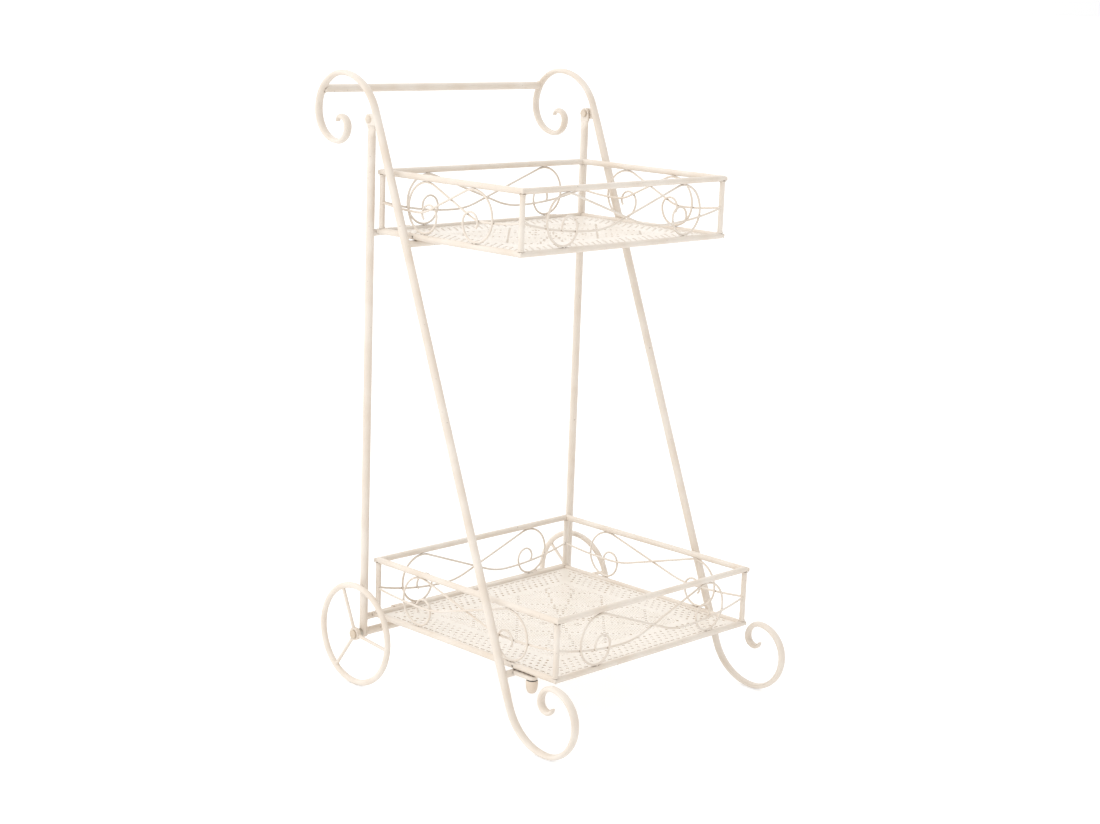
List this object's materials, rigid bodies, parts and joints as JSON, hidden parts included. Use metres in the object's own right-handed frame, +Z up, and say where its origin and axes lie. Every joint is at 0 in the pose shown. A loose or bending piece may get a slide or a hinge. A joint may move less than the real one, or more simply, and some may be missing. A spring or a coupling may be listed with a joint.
{
  "type": "folding flower cart",
  "caption": "Folding metal flower cart: A-frame with scrolled side bars, handle, wire wheels and open trays with scroll-wire sides and pierced floors.",
  "frame": {"origin": "on the ground, under the middle of the cart's box", "axes": "+X to the cart's right seen from the front, +Y towards the legs and wheels, +Z up"},
  "size_m": [0.4756, 0.5672, 0.9],
  "materials": {
    "cream_enamel": "satin antique cream enamel",
    "pierced_sheet": "satin cream enamel on pierced sheet steel",
    "cream_fasteners": "painted over",
    "steel_rod": "bright drawn steel",
    "beige_plastic": "moulded, matt",
    "black_rubber": "matt"
  },
  "bodies": {
    "rear_frame": {"rear_leg_left": "cream_enamel", "rear_leg_right": "cream_enamel", "upper_rear_crossbar": "cream_enamel", "lower_rear_crossbar": "cream_enamel", "axle_tube": "cream_enamel", "axle_rod": "steel_rod", "axle_washers": "steel_rod", "axle_caps": "cream_fasteners", "pivot_bolts": "cream_fasteners", "pivot_nuts": "cream_fasteners"},
    "front_frame": {"side_bar_left": "cream_enamel", "side_bar_right": "cream_enamel", "handle_bar": "cream_enamel", "pivot_tab_left": "cream_enamel", "pivot_tab_right": "cream_enamel", "upper_front_crossbar": "cream_enamel", "lower_front_crossbar": "cream_enamel"},
    "upper_tray": {"upper_bottom_rail_front": "cream_enamel", "upper_top_rail_front": "cream_enamel", "upper_wires_front": "cream_enamel", "upper_bottom_rail_rear": "cream_enamel", "upper_top_rail_rear": "cream_enamel", "upper_wires_rear": "cream_enamel", "upper_bottom_rail_left": "cream_enamel", "upper_top_rail_left": "cream_enamel", "upper_wires_left": "cream_enamel", "upper_bottom_rail_right": "cream_enamel", "upper_top_rail_right": "cream_enamel", "upper_wires_right": "cream_enamel", "upper_posts": "cream_enamel", "upper_floor": "pierced_sheet", "upper_hinge_loops": "cream_enamel"},
    "lower_tray": {"lower_bottom_rail_front": "cream_enamel", "lower_top_rail_front": "cream_enamel", "lower_wires_front": "cream_enamel", "lower_bottom_rail_rear": "cream_enamel", "lower_top_rail_rear": "cream_enamel", "lower_wires_rear": "cream_enamel", "lower_bottom_rail_left": "cream_enamel", "lower_top_rail_left": "cream_enamel", "lower_wires_left": "cream_enamel", "lower_bottom_rail_right": "cream_enamel", "lower_top_rail_right": "cream_enamel", "lower_wires_right": "cream_enamel", "lower_posts": "cream_enamel", "lower_floor": "pierced_sheet", "lower_hinge_loops": "cream_enamel", "latch_screw": "cream_fasteners"},
    "latch": {"latch_strap": "cream_enamel", "latch_washer": "black_rubber", "latch_knob": "beige_plastic"},
    "wheel_left": {"wheel_rim_left": "cream_enamel", "wheel_spokes_left": "cream_enamel", "wheel_hub_left": "cream_enamel"},
    "wheel_right": {"wheel_rim_right": "cream_enamel", "wheel_spokes_right": "cream_enamel", "wheel_hub_right": "cream_enamel"}
  },
  "joints": [
    {"name": "fold", "type": "hinge", "parent": "rear_frame", "child": "front_frame", "pos_m": [0, 0.16567, 0.834], "axis": [1, 0, 0], "range_deg": [0, 20]},
    {"name": "upper_tray_lift", "type": "hinge", "parent": "rear_frame", "child": "upper_tray", "pos_m": [0, 0.16567, 0.6735], "axis": [-1, 0, 0], "range_deg": [0, 85]},
    {"name": "lower_tray_lift", "type": "hinge", "parent": "rear_frame", "child": "lower_tray", "pos_m": [0, 0.16567, 0.101], "axis": [-1, 0, 0], "range_deg": [0, 85]},
    {"name": "latch_turn", "type": "hinge", "parent": "lower_tray", "child": "latch", "pos_m": [-0.198, -0.17279, 0.0965], "axis": [0, 0, -1], "range_deg": [0, 90]},
    {"name": "wheel_left_spin", "type": "hinge", "parent": "rear_frame", "child": "wheel_left", "pos_m": [-0.232, 0.16567, 0.078], "axis": [1, 0, 0], "continuous": true},
    {"name": "wheel_right_spin", "type": "hinge", "parent": "rear_frame", "child": "wheel_right", "pos_m": [0.232, 0.16567, 0.078], "axis": [1, 0, 0], "continuous": true}
  ]
}
